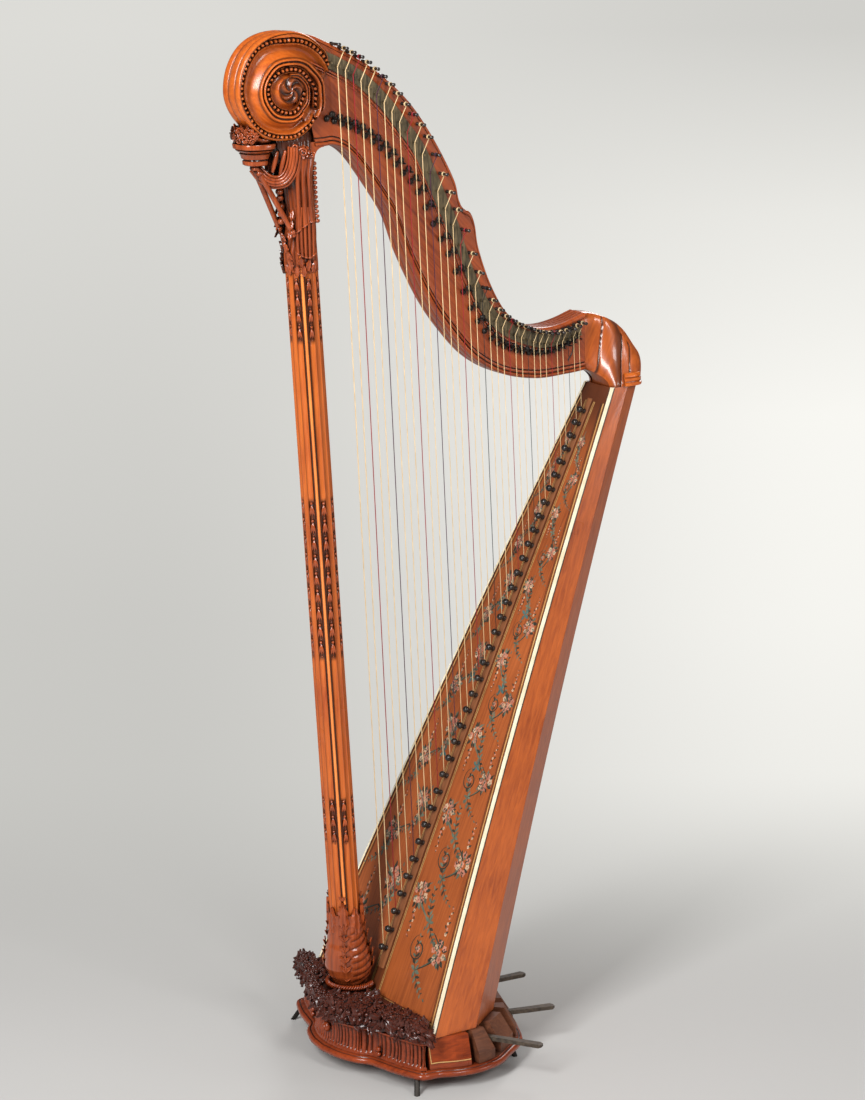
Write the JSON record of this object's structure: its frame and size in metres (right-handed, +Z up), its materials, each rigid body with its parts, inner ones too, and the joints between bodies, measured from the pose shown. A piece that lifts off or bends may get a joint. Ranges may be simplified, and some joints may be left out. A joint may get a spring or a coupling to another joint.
{
  "type": "single-action pedal harp",
  "caption": "Floor-standing pedal harp with scroll head, fluted hollow column, curved neck with turning crutches, stave-built soundbox and a base of foot pedals.",
  "frame": {"origin": "on the floor, under the middle of the whole harp's box", "axes": "+Z up; strings hang in a plane square to Y; column toward -X, shoulder toward +X, string side of the neck toward -Y"},
  "size_m": [0.736, 0.508, 1.6315],
  "materials": {
    "varnished_wood": "orange-red varnish, glossy",
    "dark_wood": "very dark stained carving, satin",
    "board_wood": "varnished spruce, satin, painted garlands",
    "pale_binding": "pale polished binding",
    "bronze": "dark olive patina",
    "iron": "blued iron, dark",
    "strip_and_strings": "hardwood strip, black pegs, gut strings"
  },
  "bodies": {
    "harp": {"axle_cradle": "varnished_wood", "back_stave_centre": "varnished_wood", "back_stave_left": "varnished_wood", "back_stave_right": "varnished_wood", "base_front_wall": "varnished_wood", "base_panel_left": "varnished_wood", "base_panel_right": "varnished_wood", "base_plate": "varnished_wood", "base_wreath": "dark_wood", "binding_left": "pale_binding", "binding_right": "pale_binding", "bottom_block": "varnished_wood", "capital": "varnished_wood", "column_foot": "varnished_wood", "column_shaft": "varnished_wood", "foot_front_left": "iron", "foot_front_right": "iron", "foot_rear_left": "iron", "foot_rear_right": "iron", "inner_stave_left": "varnished_wood", "inner_stave_right": "varnished_wood", "neck": "varnished_wood", "nut_plate": "bronze", "pedal_axle": "iron", "pedal_rack": "varnished_wood", "scroll_head": "varnished_wood", "shoulder_block": "varnished_wood", "shoulder_cap": "varnished_wood", "side_stave_left": "varnished_wood", "side_stave_right": "varnished_wood", "soundboard": "board_wood", "string_rib": "strip_and_strings"},
    "pedal_a": {"pedal_a": "iron"},
    "pull_rod_a": {"pull_rod_a": "iron"},
    "crutch_a_lower": {"crutch_a_lower": "iron"},
    "crutch_a_upper": {"crutch_a_upper": "iron"},
    "pedal_b": {"pedal_b": "iron"},
    "pull_rod_b": {"pull_rod_b": "iron"},
    "crutch_b_lower": {"crutch_b_lower": "iron"},
    "crutch_b_upper": {"crutch_b_upper": "iron"},
    "pedal_c": {"pedal_c": "iron"},
    "pull_rod_c": {"pull_rod_c": "iron"},
    "crutch_c_lower": {"crutch_c_lower": "iron"},
    "crutch_c_upper": {"crutch_c_upper": "iron"},
    "pedal_d": {"pedal_d": "iron"},
    "pull_rod_d": {"pull_rod_d": "iron"},
    "crutch_d_lower": {"crutch_d_lower": "iron"},
    "crutch_d_upper": {"crutch_d_upper": "iron"},
    "pedal_e": {"pedal_e": "iron"},
    "pull_rod_e": {"pull_rod_e": "iron"},
    "crutch_e_lower": {"crutch_e_lower": "iron"},
    "crutch_e_upper": {"crutch_e_upper": "iron"},
    "pedal_f": {"pedal_f": "iron"},
    "pull_rod_f": {"pull_rod_f": "iron"},
    "crutch_f_lower": {"crutch_f_lower": "iron"},
    "crutch_f_upper": {"crutch_f_upper": "iron"},
    "pedal_g": {"pedal_g": "iron"},
    "pull_rod_g": {"pull_rod_g": "iron"},
    "crutch_g_lower": {"crutch_g_lower": "iron"},
    "crutch_g_upper": {"crutch_g_upper": "iron"}
  },
  "joints": [
    {"name": "pedal_a_tilt", "type": "hinge", "parent": "harp", "child": "pedal_a", "pos_m": [-0.19515, 0.04299, 0.062], "axis": [0, 1, 0], "range_deg": [0, 4], "stiffness_Nm_per_rad": 10, "springref_deg": -2.86},
    {"name": "pull_rod_a_slide", "type": "slide", "parent": "harp", "child": "pull_rod_a", "axis": [0.0668, 0, -0.9978], "range_m": [0, 0.0021]},
    {"name": "crutch_a_lower_turn", "type": "hinge", "parent": "harp", "child": "crutch_a_lower", "pos_m": [-0.10404, 0.01, 1.43569], "axis": [0, 1, 0], "range_deg": [0, 40]},
    {"name": "crutch_a_upper_turn", "type": "hinge", "parent": "harp", "child": "crutch_a_upper", "pos_m": [-0.0942, 0.01, 1.4417], "axis": [0, 1, 0], "range_deg": [0, 40]},
    {"name": "pedal_b_tilt", "type": "hinge", "parent": "harp", "child": "pedal_b", "pos_m": [-0.19515, 0.023, 0.062], "axis": [0, 1, 0], "range_deg": [0, 4], "stiffness_Nm_per_rad": 10, "springref_deg": -2.86},
    {"name": "pull_rod_b_slide", "type": "slide", "parent": "harp", "child": "pull_rod_b", "axis": [0.0668, 0, -0.9978], "range_m": [0, 0.0021]},
    {"name": "crutch_b_lower_turn", "type": "hinge", "parent": "harp", "child": "crutch_b_lower", "pos_m": [-0.09046, 0.01, 1.42128], "axis": [0, 1, 0], "range_deg": [0, 40]},
    {"name": "crutch_b_upper_turn", "type": "hinge", "parent": "harp", "child": "crutch_b_upper", "pos_m": [-0.0807, 0.01, 1.42725], "axis": [0, 1, 0], "range_deg": [0, 40]},
    {"name": "pedal_c_tilt", "type": "hinge", "parent": "harp", "child": "pedal_c", "pos_m": [-0.19515, 0.018, 0.062], "axis": [0, 1, 0], "range_deg": [0, 4], "stiffness_Nm_per_rad": 10, "springref_deg": -2.86},
    {"name": "pull_rod_c_slide", "type": "slide", "parent": "harp", "child": "pull_rod_c", "axis": [0.0668, 0, -0.9978], "range_m": [0, 0.0021]},
    {"name": "crutch_c_lower_turn", "type": "hinge", "parent": "harp", "child": "crutch_c_lower", "pos_m": [-0.077, 0.01, 1.40751], "axis": [0, 1, 0], "range_deg": [0, 40]},
    {"name": "crutch_c_upper_turn", "type": "hinge", "parent": "harp", "child": "crutch_c_upper", "pos_m": [-0.06728, 0.01, 1.41345], "axis": [0, 1, 0], "range_deg": [0, 40]},
    {"name": "pedal_d_tilt", "type": "hinge", "parent": "harp", "child": "pedal_d", "pos_m": [-0.19515, 0.01299, 0.062], "axis": [0, 1, 0], "range_deg": [0, 4], "stiffness_Nm_per_rad": 10, "springref_deg": -2.86},
    {"name": "pull_rod_d_slide", "type": "slide", "parent": "harp", "child": "pull_rod_d", "axis": [0.0668, 0, -0.9978], "range_m": [0, 0.0021]},
    {"name": "crutch_d_lower_turn", "type": "hinge", "parent": "harp", "child": "crutch_d_lower", "pos_m": [-0.06366, 0.01, 1.3936], "axis": [0, 1, 0], "range_deg": [0, 40]},
    {"name": "crutch_d_upper_turn", "type": "hinge", "parent": "harp", "child": "crutch_d_upper", "pos_m": [-0.05387, 0.01, 1.39959], "axis": [0, 1, 0], "range_deg": [0, 40]},
    {"name": "pedal_e_tilt", "type": "hinge", "parent": "harp", "child": "pedal_e", "pos_m": [-0.19515, 0.02799, 0.062], "axis": [0, 1, 0], "range_deg": [0, 4], "stiffness_Nm_per_rad": 10, "springref_deg": -2.86},
    {"name": "pull_rod_e_slide", "type": "slide", "parent": "harp", "child": "pull_rod_e", "axis": [0.0668, 0, -0.9978], "range_m": [0, 0.0021]},
    {"name": "crutch_e_lower_turn", "type": "hinge", "parent": "harp", "child": "crutch_e_lower", "pos_m": [-0.05033, 0.01, 1.37659], "axis": [0, 1, 0], "range_deg": [0, 40]},
    {"name": "crutch_e_upper_turn", "type": "hinge", "parent": "harp", "child": "crutch_e_upper", "pos_m": [-0.04026, 0.01, 1.38274], "axis": [0, 1, 0], "range_deg": [0, 40]},
    {"name": "pedal_f_tilt", "type": "hinge", "parent": "harp", "child": "pedal_f", "pos_m": [-0.19515, 0.03299, 0.062], "axis": [0, 1, 0], "range_deg": [0, 4], "stiffness_Nm_per_rad": 10, "springref_deg": -2.86},
    {"name": "pull_rod_f_slide", "type": "slide", "parent": "harp", "child": "pull_rod_f", "axis": [0.0668, 0, -0.9978], "range_m": [0, 0.0021]},
    {"name": "crutch_f_lower_turn", "type": "hinge", "parent": "harp", "child": "crutch_f_lower", "pos_m": [-0.03651, 0.01, 1.3518], "axis": [0, 1, 0], "range_deg": [0, 40]},
    {"name": "crutch_f_upper_turn", "type": "hinge", "parent": "harp", "child": "crutch_f_upper", "pos_m": [-0.02644, 0.01, 1.35796], "axis": [0, 1, 0], "range_deg": [0, 40]},
    {"name": "pedal_g_tilt", "type": "hinge", "parent": "harp", "child": "pedal_g", "pos_m": [-0.19515, 0.038, 0.062], "axis": [0, 1, 0], "range_deg": [0, 4], "stiffness_Nm_per_rad": 10, "springref_deg": -2.86},
    {"name": "pull_rod_g_slide", "type": "slide", "parent": "harp", "child": "pull_rod_g", "axis": [0.0668, 0, -0.9978], "range_m": [0, 0.0021]},
    {"name": "crutch_g_lower_turn", "type": "hinge", "parent": "harp", "child": "crutch_g_lower", "pos_m": [-0.02262, 0.01, 1.32553], "axis": [0, 1, 0], "range_deg": [0, 40]},
    {"name": "crutch_g_upper_turn", "type": "hinge", "parent": "harp", "child": "crutch_g_upper", "pos_m": [-0.01266, 0.01, 1.33162], "axis": [0, 1, 0], "range_deg": [0, 40]}
  ],
  "couplings": [
    {"joint": "pull_rod_a_slide", "follows": "pedal_a_tilt", "m_per_rad": 0.03},
    {"joint": "crutch_a_lower_turn", "follows": "pedal_a_tilt", "ratio": 10},
    {"joint": "crutch_a_upper_turn", "follows": "pedal_a_tilt", "ratio": 10},
    {"joint": "pull_rod_b_slide", "follows": "pedal_b_tilt", "m_per_rad": 0.03},
    {"joint": "crutch_b_lower_turn", "follows": "pedal_b_tilt", "ratio": 10},
    {"joint": "crutch_b_upper_turn", "follows": "pedal_b_tilt", "ratio": 10},
    {"joint": "pull_rod_c_slide", "follows": "pedal_c_tilt", "m_per_rad": 0.03},
    {"joint": "crutch_c_lower_turn", "follows": "pedal_c_tilt", "ratio": 10},
    {"joint": "crutch_c_upper_turn", "follows": "pedal_c_tilt", "ratio": 10},
    {"joint": "pull_rod_d_slide", "follows": "pedal_d_tilt", "m_per_rad": 0.03},
    {"joint": "crutch_d_lower_turn", "follows": "pedal_d_tilt", "ratio": 10},
    {"joint": "crutch_d_upper_turn", "follows": "pedal_d_tilt", "ratio": 10},
    {"joint": "pull_rod_e_slide", "follows": "pedal_e_tilt", "m_per_rad": 0.03},
    {"joint": "crutch_e_lower_turn", "follows": "pedal_e_tilt", "ratio": 10},
    {"joint": "crutch_e_upper_turn", "follows": "pedal_e_tilt", "ratio": 10},
    {"joint": "pull_rod_f_slide", "follows": "pedal_f_tilt", "m_per_rad": 0.03},
    {"joint": "crutch_f_lower_turn", "follows": "pedal_f_tilt", "ratio": 10},
    {"joint": "crutch_f_upper_turn", "follows": "pedal_f_tilt", "ratio": 10},
    {"joint": "pull_rod_g_slide", "follows": "pedal_g_tilt", "m_per_rad": 0.03},
    {"joint": "crutch_g_lower_turn", "follows": "pedal_g_tilt", "ratio": 10},
    {"joint": "crutch_g_upper_turn", "follows": "pedal_g_tilt", "ratio": 10}
  ]
}
